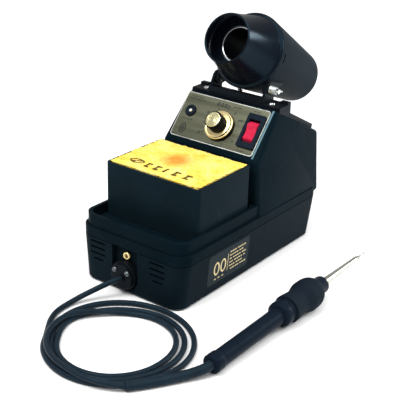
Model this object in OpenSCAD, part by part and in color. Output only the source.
// Soldering iron station: a tapered base tub, an upper housing with a deck tray and a
// control tower, a lift-out sponge box, a tilting tool holder on the roof, and the iron
// with its cord. Millimetres, +Z up. Station sizes are measured from the middle of the
// front wall at table height; at_frame() then moves everything so that the origin is at
// the bottom centre of the box around the station and its iron.

/* [Base] */
// Width of the base at its seam with the upper housing
body_w = 108; // [88:0.2:140]
// Depth of the base, front to rear
body_d = 200; // [166:0.5:250]
// Height of the seam between base and upper housing
base_h = 40; // [36:1:60]
// Height of the rubber feet
foot_h = 2; // [1:0.5:5]
// How far the base's sides and rear lean in at the bottom
base_taper = 3.1; // [0:0.1:6]
// Radius of the base's upright corners
body_r = 12; // [6:1:20]
// Wall thickness of both housings
wall = 2.6; // [2:0.1:3.5]

/* [Deck and tray] */
// Height of the skirt between the seam and the ledge
skirt_h = 8; // [5:0.5:14]
// Height of the tray's rim above the ledge
rim_h = 10.6; // [6:0.2:16]
// Width of the ledge outside the rim
rim_in = 2.4; // [1:0.2:6]
// Thickness of the rim
rim_t = 3; // [2:0.2:5]
// Height of the tray's floor above the ledge
tray_lift = 2; // [1:0.5:4]

/* [Tower] */
// Distance of the tower's front wall from the front
tower_y = 102; // [96:1:115]
// Height of the foot of the sloping panel face
panel_foot_z = 95; // [80:1:110]
// Slope of the panel face
panel_angle = 49.3; // [40:0.1:60]
// Length of the panel face along its slope
panel_len = 49.5; // [46:0.5:56]
// Slope of the roof, down to the rear
roof_angle = 27.5; // [15:0.5:32]
// Lean of the tower's sides, per millimetre of height
tower_lean = 0.08; // [0:0.01:0.12]
// Radius of the tower's edges
edge_r = 4; // [2:0.5:6]

/* [Sponge box] */
// Width of the sponge box
box_w = 95.4; // [80:0.2:96]
// Depth of the sponge box, front to rear
box_d = 71.6; // [50:0.2:74]
// Height of the sponge box
box_h = 46; // [30:1:60]
// Distance of the sponge box from the front
box_y = 25.2; // [20:0.2:27]
// Wall thickness of the sponge box
box_wall = 2.4; // [1.6:0.2:4]
// Thickness of the sponge
sponge_t = 18; // [10:1:24]

/* [Panel and controls] */
// Width of the metal panel
panel_w = 86.4; // [84:0.2:92]
// Height of the metal panel along the slope
panel_h = 42.6; // [40:0.2:46]
// Distance of the panel's middle to the left of the tower's middle
panel_off = 2.2; // [0:0.1:3]
// Thickness of the metal panel
panel_t = 1.2; // [0.8:0.1:2]
// Distance of the knob's middle from the foot of the slope
knob_u = 23.5; // [18:0.5:28]
// Radius of the knob's skirt
skirt_r = 13.4; // [10:0.1:15]
// Radius of the knob's grip
knob_r = 8; // [6:0.1:10]
// Height of the knob above the panel
knob_h = 14.5; // [10:0.5:18]
// Radius of the potentiometer's shaft
shaft_r = 3; // [2:0.1:4]
// Width of the rocker switch's frame
switch_w = 17; // [14:0.5:20]
// Length of the rocker switch's frame
switch_l = 31; // [26:0.5:34]
// Width of the red rocker
rocker_w = 10; // [8:0.5:12]
// Length of the red rocker
rocker_l = 19; // [16:0.5:22]
// Tilt of the rocker in each of its two positions
rocker_tilt = 9; // [5:0.5:11]
// Radius of the lamp's ring
lamp_r = 5.4; // [4:0.1:7]

/* [Tool holder] */
// Tilt of the holder's axis above level
hold_tilt = 27; // [15:1:45]
// Outer radius of the mouth
mouth_r = 21.6; // [18:0.2:26]
// Length of the funnel ahead of the sleeve
funnel_l = 39.5; // [25:0.5:50]
// Outer radius of the sleeve's front
sleeve_r = 33.4; // [27:0.2:41]
// Outer radius of the sleeve's rear
sleeve_r2 = 24; // [20:0.2:30]
// Length of the sleeve
sleeve_l = 88; // [60:1:110]
// Sheet thickness of the sleeve
sleeve_t = 1.4; // [1:0.1:2.5]
// Radius of the tube that the iron slides into
tube_r = 14; // [12:0.2:16]
// Height of the mounting strip on the roof
strip_t = 4; // [2:0.5:6]
// Height of the pivot above the mounting strip
pivot_up = 10; // [9:0.5:16]
// Distance of the pivot below the holder's axis
pivot_drop = 27.5; // [26:0.5:32]
// Distance of the pivot behind the sleeve's front edge
pivot_back = 5.5; // [2:0.5:20]
// Radius of the pivot bolts
bolt_r = 2; // [1.5:0.1:3]

/* [Iron] */
// Distance of the iron's rear end from the middle of the station
iron_x = 118.7; // [90:0.1:200]
// Distance of the iron's rear end in front of the station
iron_y = 50; // [0:1:90]
// Turn of the iron away from the station's sides
iron_turn = 2; // [0:0.5:8]
// Radius of the handle tube
handle_r = 6.7; // [5:0.1:8]
// Length of the handle tube
handle_l = 81.5; // [60:0.5:110]
// Radius of the rear ring
ring_r = 7.5; // [6:0.1:9]
// Radius of the collar
collar_r = 10.4; // [8:0.1:12]
// Widest radius of the foam grip
grip_r = 13; // [10:0.1:15]
// Length of the foam grip
grip_l = 38.5; // [32:0.5:70]
// Radius of the barrel
barrel_r = 3.3; // [2.7:0.05:4.2]
// Radius of the barrel at the tip
barrel_r2 = 2.5; // [2:0.05:3]
// Length of the barrel in front of the nose
barrel_l = 53; // [40:1:80]

/* [Cord] */
// Diameter of the cord
cord_d = 4.5; // [3.5:0.1:6]
// Radius of the coil at the middle of its outermost turn
coil_r = 59.6; // [40:0.2:80]
// Turns side by side in the coil
coil_turns = 3; // [2:1:4]
// Loose room between neighbouring turns of the coil
coil_slack = 3.8; // [0:0.1:6]
// Radius of the iron's strain relief at its far end
boot_r = 3.4; // [2.6:0.1:4]

/* [Hidden] */
$fn = 64;
eps = 0.01;
fit = 0.05;          // running clearance of turning parts, radial
gap = 0.4;           // clearance of parts that lift out or tilt
hull_fn = 32;

// Heights and half widths of the housing
ledge_z = base_h + skirt_h;
rim_z = ledge_z + rim_h;
tray_z = ledge_z + tray_lift;
function half_w(z) = body_w / 2 - tower_lean * (z - base_h);

// Outline of the tower in the upright plane from front to rear
panel_dy = panel_len * cos(panel_angle);
panel_dz = panel_len * sin(panel_angle);
ridge_y = tower_y + panel_dy;
ridge_z = panel_foot_z + panel_dz;
rear_y = body_d - 0.6;
roof_z = ridge_z - (rear_y - ridge_y) * tan(roof_angle);
tower_outline = [
    [tower_y, base_h + 2], [rear_y, base_h + 2], [rear_y, roof_z],
    [ridge_y, ridge_z], [tower_y, panel_foot_z]];

// Panel and its controls, in the plane of the panel face
panel_u = (panel_len - panel_h) / 2 + 1.6;
recess_t = panel_t + 0.3;
panel_gap = 0.3;
panel_r = 3;
panel_shelf = 3;
switch_x = 31.2;
switch_u = 26.2;
lamp_x = -35;
lamp_u = 30.5;
panel_z = -recess_t + panel_t;
bush_r = 4.7;
nut_r = 6.4;
nut_t = 2;
grip_z = panel_z + 2.6;
skirt_t = 1.2;
cap_r = knob_r - 1.1;
pot_r = 12;
pot_t = 9;
frame_t = 2.4;
rocker_r = rocker_l / 2 + 1.2;
rocker_drop = rocker_r * 0.55;

// Front cluster: the cord's flange and the earth jack
port_x = -5.2;
port_w = 26.4;
port_floor = 5;
well_r = 13.6;
well_z = foot_h + well_r + 0.4;
flange_r = well_r - 1.4;
cap_in = 1.2;
flange_face = -2;
cap_face = -4.5;
flange_screw_dx = 6.4;
flange_screw_z = well_z + 5;
jack_z = 32;
exit_x = port_x + 0.6;
exit_y = -5.5;
exit_z = well_z - 0.6;
vent_h = 1.8;
vent_pitch = 5.1;
vent_top = base_h - 3.8;

// Tool holder: the pivot's place, and the mouth from it
strip_top = ridge_z + 1.2;
strip_flat = 18;
strip_y = ridge_y + 2.6;
strip_w = 2 * half_w(ridge_z) - 1;
strip_end = rear_y - 6;
pivot_y = strip_y + 12.4;
pivot_z = strip_top + pivot_up;
ear_in = 26;
ear_t = 2.5;
ear_r = 6.5;
yoke_t = 2.4;
saddle_in = ear_in - gap - 2.4;
mouth_y = pivot_y + pivot_drop * sin(hold_tilt) - (funnel_l + pivot_back) * cos(hold_tilt);
mouth_z = pivot_z + pivot_drop * cos(hold_tilt) + (funnel_l + pivot_back) * sin(hold_tilt);
funnel_lap = 8;
funnel_web = 20;
funnel_t = 1.8;
tube_t = 1.2;
web_t = 1.4;
tube_l = 112;
sleeve_in = sleeve_r - sleeve_t;
sleeve_slope = (sleeve_r - sleeve_r2) / sleeve_l;
lip_r = 3;

// Iron: lengths along its axis from the rear end
ring_l = 10;
ring_edge = 1.2;
collar_l = 12;
nose_l = 14;
nose_r = 7.2;
tip_l = 13.5;
handle_s = 6;
collar_s = handle_s + handle_l - 6;
grip_s = collar_s + collar_l;
nose_s = grip_s + grip_l - 2;
barrel_s = nose_s + nose_l;
tip_s = barrel_s + barrel_l;
waist_r = grip_r - 2.4;
waist_t = 0.36;
widest_t = 0.64;
widest_s = grip_s + grip_l * widest_t;
iron_slope = asin((grip_r - ring_r) / (widest_s - ring_l / 2));
iron_z = ring_r / cos(iron_slope) + 0.02;

// Cord: hand-laid route of the stretches that aren't coiled
cord_r = cord_d / 2;
boot_in = boot_r + 0.6;
coil_x = 44;
coil_y = -62.5;
coil_pitch = cord_d + coil_slack;
coil_h = cord_d + 4.2;
coil_in = coil_r - (coil_turns - 1) * coil_pitch - cord_r - 0.8;
coil_out = coil_r + cord_r;
lead_route = [
    [exit_x, exit_y, exit_z], [-5.6, -9.5, 15.1], [-8.6, -14.5, 13.8], [-12.6, -20.5, 11.2],
    [-17.4, -27.5, 7.9], [-21.3, -35, 5.1], [-23.5, -43.5, 3.2], [-24, -52, 2.4],
    [-22.6, -60.5, cord_r], [-19.4, -68, cord_r], [-15.5, -74.5, cord_r]];
boot_route = [
    [iron_x + 0.1, -iron_y + 3, iron_z + 0.1], [118.3, -53.5, 7.2], [115.5, -59, 6],
    [110.5, -67, 4.7], [104.6, -76.5, 4], [98.6, -86.4, 3.8], [92.3, -95.6, 3.7], [86.2, -103.6, 3.8]];

// Middle of the box around the station and its iron
left_x = -body_w / 2;
right_x = iron_x + widest_s * sin(iron_turn) + grip_r * cos(iron_turn);
front_y = -iron_y - (ring_r - ring_edge) * sqrt(1 - pow(cos(iron_turn) * cos(iron_slope), 2));
rear_end_y = mouth_y + (funnel_l + sleeve_l) * cos(hold_tilt)
    + (sleeve_r2 - lip_r) * sin(hold_tilt);
frame_x = (left_x + right_x) / 2;
frame_y = (front_y + rear_end_y) / 2;

module at_frame() { translate([-frame_x, -frame_y, 0]) children(); }
module on_panel() { translate([0, tower_y, panel_foot_z]) rotate([panel_angle, 0, 0]) children(); }
module on_holder() { translate([0, mouth_y, mouth_z]) rotate([-90 - hold_tilt, 0, 0]) children(); }
module on_iron() {
    translate([iron_x, -iron_y, iron_z]) rotate([0, 0, -iron_turn]) rotate([-90 + iron_slope, 0, 0]) children();
}
module along_x() { rotate([0, 90, 0]) children(); }
module along_y() { rotate([-90, 0, 0]) children(); }

// Corner of a convex outline moved inwards by d, for every corner in turn
function unit(v) = v / norm(v);
function inward(a, b) = let (u = unit(b - a)) [-u[1], u[0]];
function inset(p, d) = [for (i = [0:len(p) - 1])
    let (n1 = inward(p[(i + len(p) - 1) % len(p)], p[i]), n2 = inward(p[i], p[(i + 1) % len(p)]))
    p[i] + d * (n1 + n2) / (1 + n1 * n2)];

// Rounded rectangle from x -w/2 to w/2 and y 0 to d
module round_plate(w, d, r) {
    union() {
        translate([-w / 2 + r, 0]) square([w - 2 * r, d]);
        translate([-w / 2, r]) square([w, d - 2 * r]);
        for (x = [-w / 2 + r, w / 2 - r]) for (y = [r, d - r]) translate([x, y]) circle(r);
    }
}

// Tub between two heights, its sides and rear leaning in towards the bottom
module tub(z1, z2, off) {
    t = base_taper * (base_h - z1) / (base_h - foot_h);
    hull() {
        translate([0, off, z1]) linear_extrude(eps)
            round_plate(body_w - 2 * t - 2 * off, body_d - t - 2 * off, body_r - off, $fn = hull_fn * 2);
        translate([0, off, z2 - eps]) linear_extrude(eps)
            round_plate(body_w - 2 * off, body_d - 2 * off, body_r - off, $fn = hull_fn * 2);
    }
}

// Tower with rounded edges; off moves every face inwards
module tower(off, r, fn) {
    pts = inset(tower_outline, off + r);
    hull() for (p = pts) for (s = [-1, 1])
        translate([s * (half_w(p[1]) - off - r), p[0], p[1]]) sphere(r, $fn = fn);
}

// Thickness of the chassis plate under the transformer
plate_t = 1.2;

// Case screws in bosses near the four corners
screw_x = 38;
screw_y2 = body_d - 26;
screw_r = 1.7;
boss_r = 4.5;
screw_spots = [for (x = [-screw_x, screw_x]) for (y = [34, screw_y2]) [x, y]];

// ---------- base ----------
module lower_housing() {
    color([0.05, 0.07, 0.08]) at_frame() difference() {
        union() {
            difference() {
                tub(foot_h, base_h, 0);
                translate([0, 0, wall]) tub(foot_h, base_h, wall);
                translate([0, wall, base_h - 1]) linear_extrude(2)
                    round_plate(body_w - 2 * wall, body_d - 2 * wall, body_r - wall);
            }
            translate([port_x - well_r - wall, 0.2, foot_h])
                cube([2 * (well_r + wall), port_floor + wall - 0.2, base_h - foot_h - 1.2]);
            for (p = screw_spots) translate([p[0], p[1], foot_h])
                cylinder(h = base_h - foot_h, r = boss_r);
        }
        // groove along the seam
        translate([0, 0, base_h - 0.6]) linear_extrude(1) difference() {
            translate([0, -1]) round_plate(body_w + 2, body_d + 2, body_r + 1);
            translate([0, 1.1]) round_plate(body_w - 2.2, body_d - 2.2, body_r - 1.1);
        }
        // recess with its round well, the cord's hole and the jack's hole
        translate([port_x - port_w / 2, -1, well_z + 4]) cube([port_w, port_floor + 1, base_h]);
        translate([port_x, -1, well_z]) along_y() cylinder(h = port_floor + 1, r = well_r);
        translate([exit_x, 0, exit_z]) along_y() cylinder(h = port_floor + wall + 1, r = 4.6);
        translate([port_x, 0, jack_z]) along_y() cylinder(h = port_floor + wall + 1, r = 2.6);
        for (s = [-1, 1]) translate([port_x + s * flange_screw_dx, 0, flange_screw_z])
            along_y() cylinder(h = port_floor + wall + 1, r = 1.3);
        // vent slots left and right of the recess
        for (i = [0:3]) for (s = [-1, 1]) {
            cut = i == 3 ? 3.4 : 0;
            x = s < 0 ? -41.5 : 20.6;
            translate([x + cut, -1, vent_top - i * vent_pitch - vent_h / 2])
                cube([15.4 - cut - cut * 0.6, wall + 2, vent_h]);
        }
        // mains gland, screws
        translate([30, body_d - wall - base_taper - 2, 22]) along_y() cylinder(h = 20, r = 6);
        for (p = screw_spots) translate([p[0], p[1], foot_h - 1]) {
            cylinder(h = base_h, r = 2);
            cylinder(h = 4, r = 3.6);
        }
    }
}

module chassis_plate() {
    floor_z = foot_h + wall;
    plate_y = 106;
    color([0.75, 0.76, 0.78]) at_frame() difference() {
        translate([-39, plate_y, floor_z]) cube([78, body_d - plate_y - 14, plate_t]);
        for (p = screw_spots) translate([p[0], p[1], floor_z - 1]) cylinder(h = 4, r = 5.2);
    }
}

module feet() {
    color([0.1, 0.1, 0.1]) at_frame()
        for (x = [-39, 39]) for (y = [15, body_d - 17]) translate([x, y, 0]) {
            cylinder(h = foot_h, r1 = 6.6, r2 = 7.4);
            translate([0, 0, foot_h - eps]) cylinder(h = eps, r = 7.4);
        }
}

module case_screws() {
    color([0.75, 0.75, 0.77]) at_frame() for (p = screw_spots) translate([p[0], p[1], foot_h + 1]) {
        difference() {
            cylinder(h = 2, r = 3.3);
            translate([-2.4, -0.4, -1]) cube([4.8, 0.8, 1.9]);
        }
        translate([0, 0, 2]) cylinder(h = base_h - foot_h + 2.5, r = screw_r);
    }
}

// ---------- upper housing ----------
module upper_housing() {
    boss_h = 12;
    color([0.04, 0.06, 0.07]) at_frame() difference() {
        union() {
            difference() {
                union() {
                    translate([0, 0, base_h]) linear_extrude(skirt_h) round_plate(body_w, body_d, body_r);
                    translate([0, rim_in - 0.8, base_h + 1]) linear_extrude(skirt_h + rim_h - 1)
                        round_plate(body_w - 2 * rim_in, tower_y + 10, body_r - 1);
                    tower(0, edge_r, hull_fn);
                }
                translate([0, wall, base_h - 1]) linear_extrude(tray_z - wall - base_h + 1)
                    round_plate(body_w - 2 * wall, body_d - 2 * wall, body_r - wall);
                tower(wall, 1, 16);
            }
            // bosses for the case screws, the rear ones tied to the side walls
            for (p = screw_spots) translate([p[0], p[1], base_h])
                cylinder(h = p[1] < tower_y ? tray_z - base_h - 1 : boss_h, r = boss_r);
            for (s = [-1, 1]) translate([s > 0 ? screw_x : -body_w / 2 + 2, screw_y2 - 1, base_h])
                cube([body_w / 2 - 2 - screw_x, 2, boss_h]);
        }
        // tray
        translate([0, rim_in + rim_t - 0.8, tray_z]) linear_extrude(rim_h + 10)
            round_plate(body_w - 2 * rim_in - 2 * rim_t, tower_y - rim_in - rim_t + 0.8, body_r - rim_t);
        // panel recess and the opening behind it
        on_panel() translate([-panel_off, panel_u - panel_gap, -recess_t]) linear_extrude(10)
            round_plate(panel_w + 2 * panel_gap, panel_h + 2 * panel_gap, panel_r);
        on_panel() translate([-panel_off, panel_u + panel_shelf, -wall - 4]) linear_extrude(20)
            round_plate(panel_w - 2 * panel_shelf, panel_h - 2 * panel_shelf, 2);
        // holes for the case screws and the mounting strip's screws
        for (p = screw_spots) translate([p[0], p[1], base_h - 1]) cylinder(h = skirt_h - 1, r = screw_r);
        for (x = [-34, 34]) translate([x, strip_y + 6.5, strip_top - 24]) cylinder(h = 30, r = 1.7);
    }
}

// ---------- sponge box ----------
module sponge_box() {
    z0 = tray_z;
    color([0.03, 0.05, 0.06]) at_frame() translate([0, box_y, z0]) difference() {
        linear_extrude(box_h) round_plate(box_w, box_d, 4);
        difference() {
            translate([0, box_wall, box_wall]) linear_extrude(box_h)
                round_plate(box_w - 2 * box_wall, box_d - 2 * box_wall, 2);
            for (s = [-1, 1]) for (y = [12, box_d - 22])
                translate([s * (box_w / 2 - box_wall - 2) - 3, y, 0]) cube([6, 10, box_h - sponge_t]);
        }
    }
}

module sponge() {
    color([0.93, 0.78, 0.33]) at_frame()
        translate([0, box_y + box_wall + gap, tray_z + box_h - sponge_t]) linear_extrude(sponge_t + 1.2)
            round_plate(box_w - 2 * box_wall - 2 * gap, box_d - 2 * box_wall - 2 * gap, 2);
}

// ---------- panel and controls ----------
module control_panel() {
    color([0.62, 0.58, 0.44]) at_frame() on_panel() translate([0, 0, -recess_t]) difference() {
        translate([-panel_off, panel_u, 0]) linear_extrude(panel_t)
            round_plate(panel_w, panel_h, panel_r - panel_gap);
        translate([0, knob_u, -1]) cylinder(h = 5, r = bush_r + 0.1);
        translate([lamp_x, lamp_u, -1]) cylinder(h = 5, r = lamp_r - 1.2);
        translate([switch_x - switch_w / 2 + 1.6, switch_u - switch_l / 2 + 1.6, -1])
            cube([switch_w - 3.2, switch_l - 3.2, 5]);
    }
}

module potentiometer() {
    color([0.7, 0.7, 0.72]) at_frame() on_panel() translate([0, knob_u, -recess_t]) difference() {
        union() {
            translate([0, 0, -pot_t]) cylinder(h = pot_t, r = pot_r);
            translate([0, 0, -eps]) cylinder(h = panel_t + nut_t + 0.6, r = bush_r);
            translate([-7, -pot_r - 6, -pot_t + 2]) cube([14, 10, 1.6]);
        }
        translate([0, 0, -pot_t + 2]) cylinder(h = 30, r = shaft_r + fit);
    }
}

module pot_nut() {
    color([0.78, 0.78, 0.8]) at_frame() on_panel() translate([0, knob_u, panel_z]) difference() {
        cylinder(h = nut_t, r = nut_r, $fn = 6);
        translate([0, 0, -1]) cylinder(h = nut_t + 2, r = bush_r);
    }
}

module pot_shaft() {
    color([0.8, 0.8, 0.82]) at_frame() on_panel() translate([0, knob_u, -recess_t - pot_t + 2.3])
        cylinder(h = recess_t + pot_t - 2.3 + knob_h - 3, r = shaft_r);
}

module knob_grip() {
    flutes = 24;
    color([0.06, 0.06, 0.07]) at_frame() on_panel() translate([0, knob_u, 0]) difference() {
        union() {
            translate([0, 0, grip_z + skirt_t]) cylinder(h = knob_h - grip_z - skirt_t - 0.6, r = knob_r);
            translate([0, 0, knob_h - 0.6 - eps]) cylinder(h = 0.6, r1 = knob_r, r2 = knob_r - 0.5);
        }
        for (i = [0:flutes - 1]) rotate(i * 360 / flutes) translate([knob_r + 0.25, 0, grip_z + skirt_t + 1.2])
            cylinder(h = knob_h, r = 0.62, $fn = 16);
        translate([0, 0, knob_h - 0.9]) cylinder(h = 2, r = cap_r);
        translate([0, 0, -1]) cylinder(h = knob_h - 2, r = shaft_r);
        translate([0, 0, -1]) cylinder(h = 1 + grip_z + skirt_t + 0.8, r = nut_r + gap);
    }
}

module knob_skirt() {
    color([0.83, 0.68, 0.3]) at_frame() on_panel() translate([0, knob_u, grip_z]) difference() {
        union() {
            cylinder(h = skirt_t - 0.4, r = skirt_r);
            translate([0, 0, skirt_t - 0.4]) cylinder(h = 0.4, r1 = skirt_r, r2 = skirt_r - 0.5);
        }
        translate([0, 0, -1]) cylinder(h = skirt_t + 2, r = nut_r + gap);
    }
}

module knob_cap() {
    color([0.85, 0.72, 0.36]) at_frame() on_panel() translate([0, knob_u, knob_h - 0.9]) {
        cylinder(h = 0.9, r = cap_r);
        translate([0, 0, 0.9 - eps]) cylinder(h = 0.4, r1 = cap_r, r2 = cap_r - 0.6);
    }
}

module on_switch() { on_panel() translate([switch_x, switch_u, panel_z]) children(); }

module switch_frame() {
    rw = rocker_w + 2 * gap;
    rl = rocker_l + 2 * gap + 0.8;
    color([0.06, 0.07, 0.09]) at_frame() on_switch() difference() {
        union() {
            translate([0, -switch_l / 2, 0]) linear_extrude(frame_t) round_plate(switch_w, switch_l, 1.2);
            translate([-switch_w / 2 + 1.8, -switch_l / 2 + 1.8, -18])
                cube([switch_w - 3.6, switch_l - 3.6, 18.1]);
            for (y = [-8, 0, 8]) translate([-2.4, y - 0.4, -26]) cube([4.8, 0.8, 8.1]);
        }
        translate([-rw / 2, -rl / 2, -14]) cube([rw, rl, 20]);
    }
}

module switch_rocker() {
    w = rocker_w;
    color([0.85, 0.08, 0.12]) at_frame() on_switch() translate([0, 0, -rocker_drop])
        rotate([rocker_tilt, 0, 0]) intersection() {
            translate([-w / 2, 0, 0]) along_x() difference() {
                cylinder(h = w, r = rocker_r);
                translate([-rocker_r * 2.02, 0, -1]) cylinder(h = w + 2, r = rocker_r * 1.3);
            }
            translate([-w / 2, -rocker_l / 2, -3]) cube([w, rocker_l, rocker_r * 2]);
        }
}

module lamp_ring() {
    color([0.05, 0.05, 0.06]) at_frame() on_panel() translate([lamp_x, lamp_u, panel_z]) difference() {
        union() {
            rotate_extrude() polygon([[0, 0], [lamp_r, 0], [lamp_r, 0.8], [lamp_r - 1, 1.8], [0, 1.8]]);
            translate([0, 0, -10]) cylinder(h = 10.1, r = lamp_r - 1.3);
        }
        translate([0, 0, -8]) cylinder(h = 20, r = 2.4);
    }
}

module lamp_lens() {
    color([0.95, 0.93, 0.85]) at_frame() on_panel() translate([lamp_x, lamp_u, panel_z - 7.9]) {
        cylinder(h = 8.4, r = 2.4);
        translate([0, 0, 8.4 - eps]) cylinder(h = 0.9, r1 = 2.1, r2 = 1.2);
    }
}

// ---------- inside ----------
module transformer_core() {
    floor_z = foot_h + wall + plate_t;
    color([0.35, 0.36, 0.38]) at_frame() translate([-33, 132, floor_z]) difference() {
        cube([66, 26, 55]);
        for (x = [11, 44]) translate([x, -1, 11]) cube([11, 28, 33]);
    }
}

module transformer_coil() {
    floor_z = foot_h + wall + plate_t;
    color([0.6, 0.32, 0.12]) at_frame() difference() {
        translate([-21.8, 121.2, floor_z + 11.2]) cube([43.6, 47.6, 32.6]);
        translate([-11, 132, floor_z]) cube([22, 26, 55]);
    }
}

module circuit_board() {
    z = foot_h + wall;
    color([0.1, 0.35, 0.2]) at_frame() difference() {
        union() {
            translate([-31, 16, z + 8]) cube([62, 82, 1.6]);
            for (x = [-27, 27]) for (y = [21, 92]) translate([x, y, z]) cylinder(h = 8, r = 2.6);
        }
        for (x = [-27, 27]) for (y = [21, 92]) translate([x, y, z - 1]) cylinder(h = 20, r = 1.2);
    }
}

module board_parts() {
    z = foot_h + wall + 9.6;
    color([0.15, 0.15, 0.2]) at_frame() {
        translate([-22, 28, z]) cube([16, 18, 14]);
        translate([14, 34, z]) cylinder(h = 20, r = 6);
        translate([14, 52, z]) cylinder(h = 16, r = 5);
        translate([-20, 60, z]) cube([4, 24, 22]);
        translate([0, 66, z]) cube([18, 8, 5]);
    }
}

// ---------- front cluster ----------
module cord_flange() {
    color([0.08, 0.09, 0.1]) at_frame() difference() {
        union() {
            translate([port_x, port_floor, well_z]) rotate([90, 0, 0]) {
                cylinder(h = port_floor - flange_face - 0.6, r = flange_r);
                translate([0, 0, port_floor - flange_face - 0.6 - eps])
                    cylinder(h = 0.6 + eps, r1 = flange_r, r2 = flange_r - 0.6);
                cylinder(h = port_floor - cap_face - 0.6, r = flange_r - cap_in);
                translate([0, 0, port_floor - cap_face - 0.6 - eps])
                    cylinder(h = 0.6 + eps, r1 = flange_r - cap_in, r2 = flange_r - cap_in - 0.6);
            }
            translate([exit_x, port_floor + wall + 3, exit_z]) rotate([90, 0, 0])
                cylinder(h = port_floor + wall + 3 - exit_y, r1 = 4.4, r2 = 3.4);
        }
        for (s = [-1, 1]) translate([port_x + s * flange_screw_dx, cap_face - 1, flange_screw_z])
            along_y() cylinder(h = 30, r = 1.5);
    }
}

module flange_screws() {
    color([0.9, 0.9, 0.92]) at_frame() for (s = [-1, 1])
        translate([port_x + s * flange_screw_dx, cap_face, flange_screw_z]) difference() {
            union() {
                along_y() cylinder(h = port_floor + wall - cap_face + 3, r = 1.3);
                rotate([90, 0, 0]) cylinder(h = 1.5, r1 = 2.3, r2 = 1.9);
            }
            translate([-3, -2.2, -0.35]) cube([6, 1.5, 0.7]);
        }
}

module earth_jack() {
    color([0.85, 0.68, 0.3]) at_frame() translate([port_x, port_floor, jack_z]) difference() {
        union() {
            rotate([90, 0, 0]) cylinder(h = 3, r1 = 3.7, r2 = 3.5);
            along_y() cylinder(h = wall + 6, r = 2.5);
        }
        translate([0, -4, 0]) along_y() cylinder(h = 12, r = 1.5);
    }
}

module jack_nut() {
    color([0.8, 0.7, 0.4]) at_frame() translate([port_x, port_floor + wall, jack_z]) along_y() difference() {
        cylinder(h = 2.4, r = 4.4, $fn = 6);
        translate([0, 0, -1]) cylinder(h = 5, r = 2.5);
    }
}

module mains_gland() {
    y_wall = body_d - base_taper * (base_h - 22) / (base_h - foot_h);
    color([0.08, 0.08, 0.08]) at_frame() translate([30, y_wall, 22]) difference() {
        union() {
            translate([0, 1, 0]) along_y() cylinder(h = 3, r = 8);
            translate([0, -8, 0]) along_y() cylinder(h = 9.2, r = 5.9);
            translate([0, 4 - eps, 0]) along_y() cylinder(h = 9, r1 = 6.6, r2 = 4.8);
        }
        translate([0, -10, 0]) along_y() cylinder(h = 30, r = 3.3);
    }
}

// ---------- tool holder ----------
module mount_strip() {
    color([0.03, 0.04, 0.05]) at_frame() difference() {
        union() {
            translate([strip_w / 2, 0, 0]) rotate([0, -90, 0]) linear_extrude(strip_w) polygon([
                [strip_top - 6, strip_y], [strip_top, strip_y + 1], [strip_top, strip_y + strip_flat],
                [ridge_z - (strip_y + strip_flat - ridge_y) * tan(roof_angle) + strip_t,
                    strip_y + strip_flat],
                [ridge_z - (strip_end - ridge_y) * tan(roof_angle) + strip_t, strip_end],
                [ridge_z - (strip_end - ridge_y) * tan(roof_angle) - 2, strip_end - 2],
                [strip_top - 12, strip_y]]);
            for (s = [-1, 1]) translate([s * (strip_w / 2 - 4) - 4, strip_y + strip_flat - 5, strip_top - eps])
                cube([8, 5, 2]);
        }
        tower(0, edge_r, hull_fn);
        for (x = [-34, 34]) translate([x, strip_y + 6.5, strip_top - 24]) cylinder(h = 30, r = 1.8);
        for (x = [-12, 12]) translate([x, strip_y + 7, strip_top - 7]) cylinder(h = 30, r = 1.4);
    }
}

module strip_screws() {
    color([0.9, 0.9, 0.92]) at_frame() {
        for (x = [-34, 34]) translate([x, strip_y + 6.5, 0]) {
            translate([0, 0, strip_top - 14]) cylinder(h = 14, r = 1.6);
            translate([0, 0, strip_top]) cylinder(h = 1.6, r1 = 3, r2 = 2.2);
        }
        for (x = [-12, 12]) translate([x, strip_y + 7, 0]) {
            translate([0, 0, strip_top - 6]) cylinder(h = 6 + yoke_t, r = 1.4);
            translate([0, 0, strip_top + yoke_t]) cylinder(h = 1.2, r1 = 2.8, r2 = 2.2);
        }
    }
}

module yoke() {
    w = 2 * (ear_in + ear_t);
    color([0.04, 0.04, 0.05]) at_frame() difference() {
        union() {
            translate([-w / 2, strip_y + 1.2, strip_top]) cube([w, strip_flat - 6.6, yoke_t]);
            translate([-w / 2, strip_y + 1.2, strip_top]) cube([w, 2, 5]);
            for (s = [-1, 1]) translate([s > 0 ? ear_in : -ear_in - ear_t, 0, 0]) hull() {
                translate([0, pivot_y, pivot_z]) along_x() cylinder(h = ear_t, r = ear_r);
                translate([0, strip_y + 1.2, strip_top]) cube([ear_t, strip_flat - 1.2, yoke_t]);
            }
        }
        translate([-w, pivot_y, pivot_z]) along_x() cylinder(h = 2 * w, r = bolt_r + fit);
        for (x = [-12, 12]) translate([x, strip_y + 7, strip_top - 1]) cylinder(h = 10, r = 1.5);
    }
}

module pivot_bolts() {
    x_out = ear_in + ear_t;
    color([0.75, 0.76, 0.78]) at_frame() translate([0, pivot_y, pivot_z]) {
        translate([saddle_in - 1.2, 0, 0]) along_x() {
            cylinder(h = 1.2, r = 3);
            cylinder(h = x_out - saddle_in + 1.2 + 8.5, r = bolt_r);
        }
        mirror([1, 0, 0]) translate([saddle_in - 1.2, 0, 0]) along_x() {
            cylinder(h = 1.2, r = 3);
            cylinder(h = x_out - saddle_in + 1.2 + 0.4, r = bolt_r);
            translate([0, 0, x_out - saddle_in + 1.2 + 0.2]) cylinder(h = 1.8, r1 = 3.6, r2 = 2.8);
        }
    }
}

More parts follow.
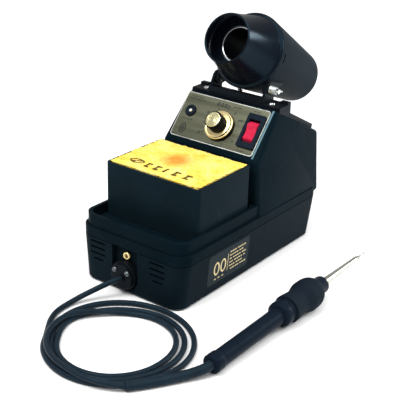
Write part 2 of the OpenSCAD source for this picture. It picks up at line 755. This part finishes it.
module wing_nut() {
    x0 = ear_in + ear_t + 0.3;
    color([0.82, 0.85, 0.84]) at_frame() translate([x0, pivot_y, pivot_z]) along_x() difference() {
        union() {
            cylinder(h = 1, r = 4.6);
            translate([0, 0, 1 - eps]) cylinder(h = 4.6, r1 = 4.2, r2 = 3.4);
            for (a = [0, 180]) rotate(a + 75) hull() {
                translate([3, -0.8, 1.2]) cube([1, 1.6, 3.6]);
                translate([6.6, 0.8, 5]) rotate([90, 0, 0]) cylinder(h = 1.6, r = 2.2, $fn = hull_fn);
            }
        }
        translate([0, 0, -1]) cylinder(h = 20, r = bolt_r + fit);
    }
}

module holder_sleeve() {
    l = sleeve_l;
    color([0.09, 0.13, 0.15]) at_frame() on_holder() translate([0, 0, funnel_l]) difference() {
        rotate_extrude() {
            polygon([
                [sleeve_r - sleeve_t, 0], [sleeve_r, 0], [sleeve_r2, l - lip_r], [sleeve_r2 - 0.9, l - 0.9],
                [sleeve_r2 - lip_r, l], [sleeve_r2 - lip_r - 5, l], [sleeve_r2 - lip_r - 5, l - sleeve_t],
                [sleeve_r2 - lip_r - 0.4, l - sleeve_t], [sleeve_r2 - sleeve_t, l - lip_r - 0.4]]);
        }
        translate([sleeve_r - 4, -5.5, 3.6]) cube([8, 8, 1.8]);
        translate([0, 20, funnel_lap / 2]) rotate([-90, 0, 0]) cylinder(h = 20, r = 1.4);
    }
}

// Outer radius of the funnel at a distance from the mouth
function funnel_r(z) = mouth_r + (sleeve_in - 1.6 - mouth_r) * (z - 0.6) / (funnel_l - 2.6);
module holder_funnel() {
    back_r = sleeve_in - sleeve_slope * funnel_lap - 0.02;
    front_in = mouth_r - 1.9;
    web_z = funnel_web + web_t;
    color([0.03, 0.04, 0.06]) at_frame() on_holder() difference() {
        rotate_extrude() union() {
            polygon([
                [front_in, 0.6], [front_in + 0.6, 0], [mouth_r - 0.6, 0], [mouth_r, 0.6],
                [sleeve_in - 1.6, funnel_l - 2], [sleeve_in - 0.02, funnel_l - 0.2],
                [back_r, funnel_l + funnel_lap],
                [back_r - funnel_t, funnel_l + funnel_lap], [sleeve_in - 1.6 - funnel_t, funnel_l - 1]]);
            polygon([
                [tube_r + tube_t, funnel_web], [funnel_r(funnel_web) - funnel_t / 2, funnel_web],
                [funnel_r(web_z) - funnel_t / 2, web_z], [tube_r + tube_t, web_z]]);
        }
        translate([0, 20, funnel_l + funnel_lap / 2]) rotate([-90, 0, 0]) cylinder(h = 20, r = 1.2);
    }
}

module holder_tube() {
    out = tube_r + tube_t;
    lip = out + 1.4;
    color([0.3, 0.31, 0.33]) at_frame() on_holder() rotate_extrude() polygon([
        [tube_r, funnel_web - 0.6], [tube_r + 0.6, funnel_web - 1.2], [lip - 0.3, funnel_web - 1.2],
        [lip, funnel_web - 0.9], [lip, funnel_web], [out, funnel_web], [out, tube_l], [tube_r, tube_l]]);
}

module holder_saddle() {
    s_in = saddle_in;
    color([0.05, 0.05, 0.06]) at_frame() difference() {
        union() for (s = [-1, 1]) translate([s > 0 ? s_in : -s_in - 2.4, 0, 0]) hull() {
            translate([0, pivot_y, pivot_z]) along_x() cylinder(h = 2.4, r = 5.6);
            on_holder() translate([0, pivot_drop - 12, funnel_l + 3]) cube([2.4, 1, 26]);
        }
        on_holder() translate([0, 0, funnel_l - 2]) cylinder(
            h = sleeve_l, r1 = sleeve_r + 2 * sleeve_slope,
            r2 = sleeve_r + (2 - sleeve_l) * sleeve_slope, $fn = 96);
        translate([-60, pivot_y, pivot_z]) along_x() cylinder(h = 120, r = bolt_r);
    }
}

module funnel_screw() {
    color([0.9, 0.9, 0.92]) at_frame() on_holder() translate([0, sleeve_r - 5, funnel_l + funnel_lap / 2])
        rotate([-90, 0, 0]) {
            cylinder(h = 5.6, r = 1.2);
            translate([0, 0, 4.9]) cylinder(h = 1.3, r1 = 2.6, r2 = 1.9);
        }
}

// ---------- iron ----------
module rear_ring() {
    color([0.07, 0.08, 0.09]) at_frame() on_iron() rotate_extrude() polygon([
        [boot_in, 0], [ring_r - ring_edge, 0], [ring_r, ring_edge], [ring_r, ring_l - 1.4],
        [ring_r - 0.8, ring_l],
        [handle_r, ring_l], [handle_r, handle_s], [boot_in, handle_s]]);
}

module iron_handle() {
    color([0.08, 0.1, 0.12]) at_frame() on_iron() rotate_extrude() polygon([
        [3.4, handle_s], [handle_r, handle_s], [handle_r, ring_l], [handle_r + 0.35, collar_s],
        [handle_r + 0.35, grip_s + grip_l],
        [4.4, grip_s + grip_l], [4.4, handle_s + 3], [3.4, handle_s + 3]]);
}

module iron_collar() {
    r = collar_r;
    color([0.06, 0.07, 0.08]) at_frame() on_iron() translate([0, 0, collar_s]) rotate_extrude() polygon([
        [handle_r + 0.35, 0], [r - 2.2, 0], [r - 0.6, 1], [r, 3], [r, collar_l - 4.4], [r - 0.5, collar_l - 3],
        [r - 0.5, collar_l], [handle_r + 0.35, collar_l]]);
}

// Radius of the foam grip at a share t of its length
function foam_r(t) = t < waist_t ? waist_r + 0.5 * (1 + cos(180 * t / waist_t))
    : t < widest_t ? grip_r - (grip_r - waist_r) * 0.5 * (1 + cos(180 * (t - waist_t) / (widest_t - waist_t)))
    : grip_r - 3 * pow((t - widest_t) / (1 - widest_t), 4);
module foam_grip() {
    steps = 28;
    color([0.09, 0.1, 0.12]) at_frame() on_iron() translate([0, 0, grip_s]) rotate_extrude() polygon(concat(
        [for (i = [0:steps]) [foam_r(i / steps), grip_l * i / steps]],
        [[handle_r + 0.35, grip_l], [handle_r + 0.35, 0]]));
}

module nose_nut() {
    r = nose_r;
    z1 = grip_s + grip_l;
    color([0.1, 0.14, 0.16]) at_frame() on_iron() rotate_extrude() polygon([
        [barrel_r + 0.35, z1], [r + 0.8, z1], [r + 0.8, z1 + 2], [r, z1 + 3], [r, barrel_s - 1.6],
        [r - 1.6, barrel_s],
        [barrel_r + 0.35, barrel_s]]);
}

module iron_barrel() {
    bore = barrel_r - 0.6;
    color([0.78, 0.78, 0.74]) at_frame() on_iron() rotate_extrude() polygon([
        [bore, barrel_s - 24], [barrel_r + 0.35, barrel_s - 24], [barrel_r + 0.35, barrel_s - 0.4],
        [barrel_r, barrel_s], [barrel_r2, tip_s - 3], [barrel_r2 - 0.4, tip_s], [barrel_r2 - 1, tip_s],
        [barrel_r2 - 0.6, tip_s - 3], [bore, barrel_s]]);
}

module heating_element() {
    color([0.85, 0.83, 0.78]) at_frame() on_iron() translate([0, 0, barrel_s - 30])
        cylinder(h = barrel_l, r = barrel_r2 - 0.3);
}

module iron_tip() {
    r = barrel_r2 - 1;
    color([0.6, 0.58, 0.52]) at_frame() on_iron() rotate_extrude() polygon([
        [0, tip_s - 28], [r, tip_s - 28], [r, tip_s + 1], [r - 0.5, tip_s + 3], [0.45, tip_s + tip_l - 0.6],
        [0.2, tip_s + tip_l], [0, tip_s + tip_l]]);
}

// ---------- cord ----------
// Rings of a round tube along points p, each square to the route there; its radius goes from r1 to r2
function route_dir(p, i) = unit(p[min(i + 1, len(p) - 1)] - p[max(i - 1, 0)]);
function ring(c, d, r, n) =
    let (a = unit(cross(d, [0, 0, 1])), b = cross(a, d))
    [for (k = [0:n - 1]) c + r * (cos(360 * k / n) * a + sin(360 * k / n) * b)];
module cord_tube(p, r1, r2, n) {
    m = len(p);
    pts = [for (i = [0:m - 1]) each ring(p[i], route_dir(p, i), r1 + (r2 - r1) * i / (m - 1), n)];
    sides = [for (i = [0:m - 2]) for (k = [0:n - 1])
        [i * n + k, i * n + (k + 1) % n, (i + 1) * n + (k + 1) % n, (i + 1) * n + k]];
    polyhedron(pts, concat([[for (k = [n - 1:-1:0]) k]], sides, [[for (k = [0:n - 1]) (m - 1) * n + k]]));
}

module cord_lead() {
    color([0.12, 0.2, 0.26]) at_frame() cord_tube(lead_route, cord_r, cord_r, 8);
}

module cord_coil() {
    color([0.12, 0.2, 0.26]) at_frame() translate([coil_x, coil_y, 0]) rotate_extrude() polygon([
        [coil_in, 0.6], [coil_in + 0.6, 0], [coil_out - 0.6, 0], [coil_out, 0.6], [coil_out, cord_d],
        [coil_out - coil_h + cord_d, coil_h], [coil_in + coil_h - cord_d, coil_h], [coil_in, cord_d]]);
}

module cord_boot() {
    color([0.1, 0.16, 0.2]) at_frame() cord_tube(boot_route, boot_in, boot_r, 12);
}

lower_housing();
chassis_plate();
feet();
case_screws();
upper_housing();
control_panel();
sponge_box();
sponge();
potentiometer();
pot_nut();
pot_shaft();
knob_grip();
knob_skirt();
knob_cap();
switch_frame();
switch_rocker();
lamp_ring();
lamp_lens();
transformer_core();
transformer_coil();
circuit_board();
board_parts();
cord_flange();
flange_screws();
earth_jack();
jack_nut();
mains_gland();
mount_strip();
strip_screws();
yoke();
pivot_bolts();
wing_nut();
holder_sleeve();
holder_funnel();
holder_tube();
holder_saddle();
funnel_screw();
iron_handle();
rear_ring();
iron_collar();
foam_grip();
nose_nut();
iron_barrel();
heating_element();
iron_tip();
cord_boot();
cord_lead();
cord_coil();
